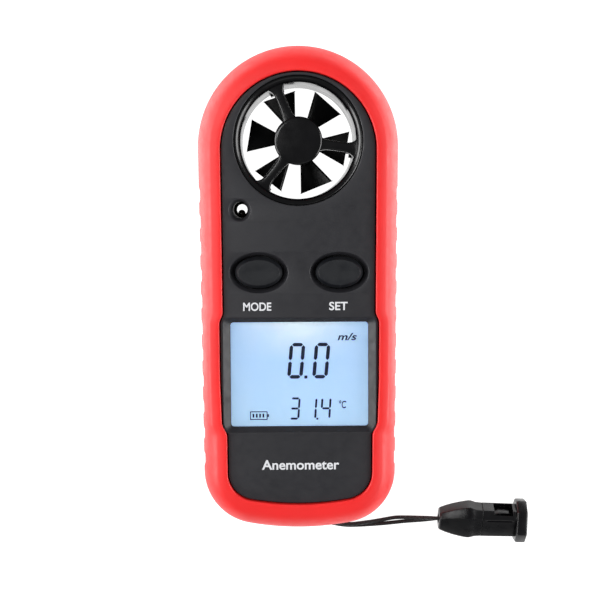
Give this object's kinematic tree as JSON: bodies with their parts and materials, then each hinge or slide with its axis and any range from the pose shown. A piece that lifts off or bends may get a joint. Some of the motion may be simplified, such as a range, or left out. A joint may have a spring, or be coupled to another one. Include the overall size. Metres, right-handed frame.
{
  "type": "handheld weather meter",
  "caption": "Pocket vane anemometer with thermometer: ducted impeller behind a spoked guard, backlit display, two oval keys, rubber sleeve and lanyard with quick-release buckle.",
  "frame": {"origin": "under the middle of the case, on the surface that it lies on", "axes": "+Z out of the display face, +Y along the case towards the fan, +X to the right of the display"},
  "size_m": [0.073, 0.1107, 0.018],
  "materials": {
    "sleeve_rubber": "soft satin",
    "case_black": "fine matt texture",
    "guard_black": "satin",
    "impeller_black": "satin",
    "jewel": "polished",
    "steel": "bright zinc",
    "magnet": "dull sintered",
    "epoxy_black": "matt moulded",
    "flex_amber": "glossy film",
    "bead": "glassy bead",
    "board_green": "solder mask",
    "ceramic_tan": "matt",
    "window_clear": "clear polished",
    "lcd_glass": "polarised, back lit",
    "guide_clear": "frosted",
    "led_white": "diffuse lens",
    "zebra": "matt striped",
    "key_rubber": "satin",
    "switch_grey": "moulded",
    "plunger_grey": "moulded",
    "cell_steel": "nickel plated",
    "contact_gold": "plated spring strip",
    "cord_black": "braided",
    "buckle_black": "moulded gloss"
  },
  "bodies": {
    "case": {"bumper": "sleeve_rubber", "front_shell": "case_black", "rear_shell": "case_black", "fan_housing": "guard_black", "rear_bridge": "guard_black", "front_bearing": "jewel", "rear_bearing": "jewel", "hall_sensor": "epoxy_black", "hall_flex": "flex_amber", "thermistor": "bead", "main_pcb": "board_green", "main_chip": "epoxy_black", "crystal": "steel", "pcb_passives": "ceramic_tan", "lcd_window": "window_clear", "lcd_glass": "lcd_glass", "lcd_frame": "case_black", "light_guide": "guide_clear", "backlight_leds": "led_white", "zebra_strip": "zebra", "switch_mode": "switch_grey", "switch_set": "switch_grey", "coin_cell": "cell_steel", "contact_negative": "contact_gold", "contact_positive": "contact_gold", "case_screws": "steel", "pcb_screws": "steel", "lanyard_pin": "steel", "lanyard_cord": "cord_black", "buckle_plug": "buckle_black"},
    "rotor": {"impeller": "impeller_black", "impeller_shaft": "steel", "impeller_magnet": "magnet"},
    "mode_key": {"button_mode": "key_rubber"},
    "set_key": {"button_set": "key_rubber"},
    "mode_plunger": {"plunger_mode": "plunger_grey"},
    "set_plunger": {"plunger_set": "plunger_grey"},
    "door": {"battery_door": "case_black"},
    "buckle_end": {"buckle_socket": "buckle_black"}
  },
  "joints": [
    {"name": "impeller_spin", "type": "hinge", "parent": "case", "child": "rotor", "pos_m": [0, 0.032, 0.0086], "axis": [0, 0, 1], "continuous": true},
    {"name": "mode_press", "type": "slide", "parent": "case", "child": "mode_key", "axis": [0, 0, -1], "range_m": [0, 0.0005], "stiffness_N_per_m": 850},
    {"name": "set_press", "type": "slide", "parent": "case", "child": "set_key", "axis": [0, 0, -1], "range_m": [0, 0.0005], "stiffness_N_per_m": 850},
    {"name": "mode_plunger_press", "type": "slide", "parent": "case", "child": "mode_plunger", "axis": [0, 0, -1], "range_m": [0, 0.00045]},
    {"name": "set_plunger_press", "type": "slide", "parent": "case", "child": "set_plunger", "axis": [0, 0, -1], "range_m": [0, 0.00045]},
    {"name": "door_twist", "type": "hinge", "parent": "case", "child": "door", "pos_m": [0, -0.018, 0], "axis": [0, 0, 1], "range_deg": [0, 30]},
    {"name": "buckle_pull", "type": "slide", "parent": "case", "child": "buckle_end", "axis": [0.9994, -0.0349, 0], "range_m": [0, 0.012]}
  ],
  "couplings": [
    {"joint": "mode_plunger_press", "follows": "mode_press", "ratio": 0.9},
    {"joint": "set_plunger_press", "follows": "set_press", "ratio": 0.9}
  ]
}
